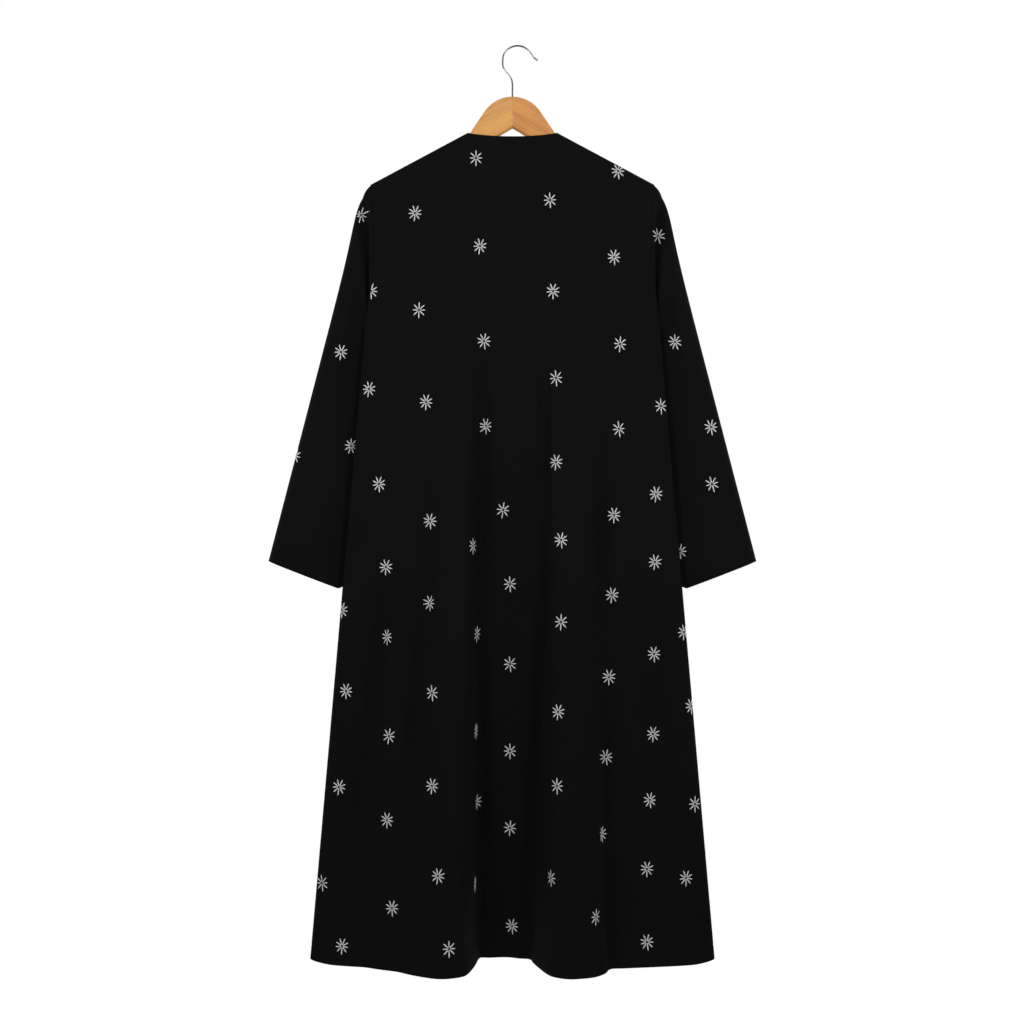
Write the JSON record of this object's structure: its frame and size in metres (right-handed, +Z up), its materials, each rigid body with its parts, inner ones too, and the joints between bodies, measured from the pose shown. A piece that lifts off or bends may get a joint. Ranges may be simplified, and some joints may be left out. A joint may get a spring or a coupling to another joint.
{
  "type": "abaya cloak",
  "caption": "Open-front A-line abaya cloak with long set-in sleeves and small scattered flowers, hanging on a wooden hanger by its wire hook.",
  "frame": {"origin": "the seat of the hanger's hook: the point inside the hook, straight above its shank, that lies on a wardrobe rail", "axes": "+Z up along the shank; the cloak's back faces -Y and its open front +Y; +X runs along the hanger's arm, towards the wearer's right sleeve"},
  "size_m": [0.8146, 0.1589, 1.5196],
  "materials": {
    "black_cloth": "matt plain weave with a faint sheen",
    "flower_thread": "silver-grey embroidery thread",
    "hanger_wood": "clear satin varnish",
    "hook_metal": "polished"
  },
  "bodies": {
    "root": {"back": "black_cloth", "front_left": "black_cloth", "front_right": "black_cloth", "sleeve_left": "black_cloth", "sleeve_right": "black_cloth", "hanger_left": "hanger_wood", "hanger_right": "hanger_wood", "hanger_hook": "hook_metal"}
  },
  "joints": []
}
